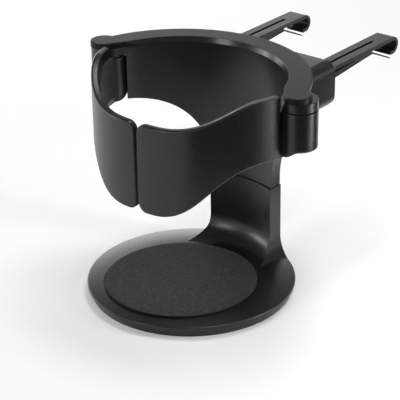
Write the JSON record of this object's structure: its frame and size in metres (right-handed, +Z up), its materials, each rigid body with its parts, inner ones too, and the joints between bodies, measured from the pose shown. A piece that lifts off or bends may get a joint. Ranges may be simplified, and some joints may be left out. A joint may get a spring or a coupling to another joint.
{
  "type": "car cup holder",
  "caption": "Air-vent cup holder: C-shaped ring with sprung front arms, a post down to a round padded tray, and hooked vent clips at the rear.",
  "frame": {"origin": "underside of the tray, on the cup axis", "axes": "+Z up along the cup axis, +Y towards the air vent, +X to the right as seen from the driver's side of the cup"},
  "size_m": [0.1136, 0.1548, 0.0977],
  "materials": {
    "abs_black": "satin moulded",
    "nylon_black": "satin moulded",
    "pad_rubber": "grained matt",
    "liner_rubber": "grained matt",
    "screw_steel": "zinc plated",
    "pin_steel": "ground",
    "spring_steel": "drawn wire",
    "leaf_steel": "black coated spring strip"
  },
  "bodies": {
    "holder": {"base_tray": "abs_black", "base_pad": "pad_rubber", "post_screws": "screw_steel", "ring_frame": "abs_black", "ring_cover": "abs_black", "rear_cover": "abs_black", "rear_screws": "screw_steel", "right_hinge_pin": "pin_steel", "left_hinge_pin": "pin_steel", "right_torsion_spring": "spring_steel", "left_torsion_spring": "spring_steel", "hinge_washers": "screw_steel", "hinge_screws": "screw_steel", "right_clip_hook": "nylon_black", "left_clip_hook": "nylon_black", "right_clip_leaf": "leaf_steel", "left_clip_leaf": "leaf_steel"},
    "left_arm_body": {"left_arm": "abs_black", "left_arm_pad": "liner_rubber"},
    "right_arm_body": {"right_arm": "abs_black", "right_arm_pad": "liner_rubber"}
  },
  "joints": [
    {"name": "left_arm_hinge", "type": "hinge", "parent": "holder", "child": "left_arm_body", "pos_m": [-0.0496, 0.0144, 0.082], "axis": [0, 0, -1], "range_deg": [0, 30], "stiffness_Nm_per_rad": 0.15, "deforming": ["left_torsion_spring"]},
    {"name": "right_arm_hinge", "type": "hinge", "parent": "holder", "child": "right_arm_body", "pos_m": [0.0496, 0.0144, 0.082], "axis": [0, 0, 1], "range_deg": [0, 30], "stiffness_Nm_per_rad": 0.15, "deforming": ["right_torsion_spring"]}
  ]
}
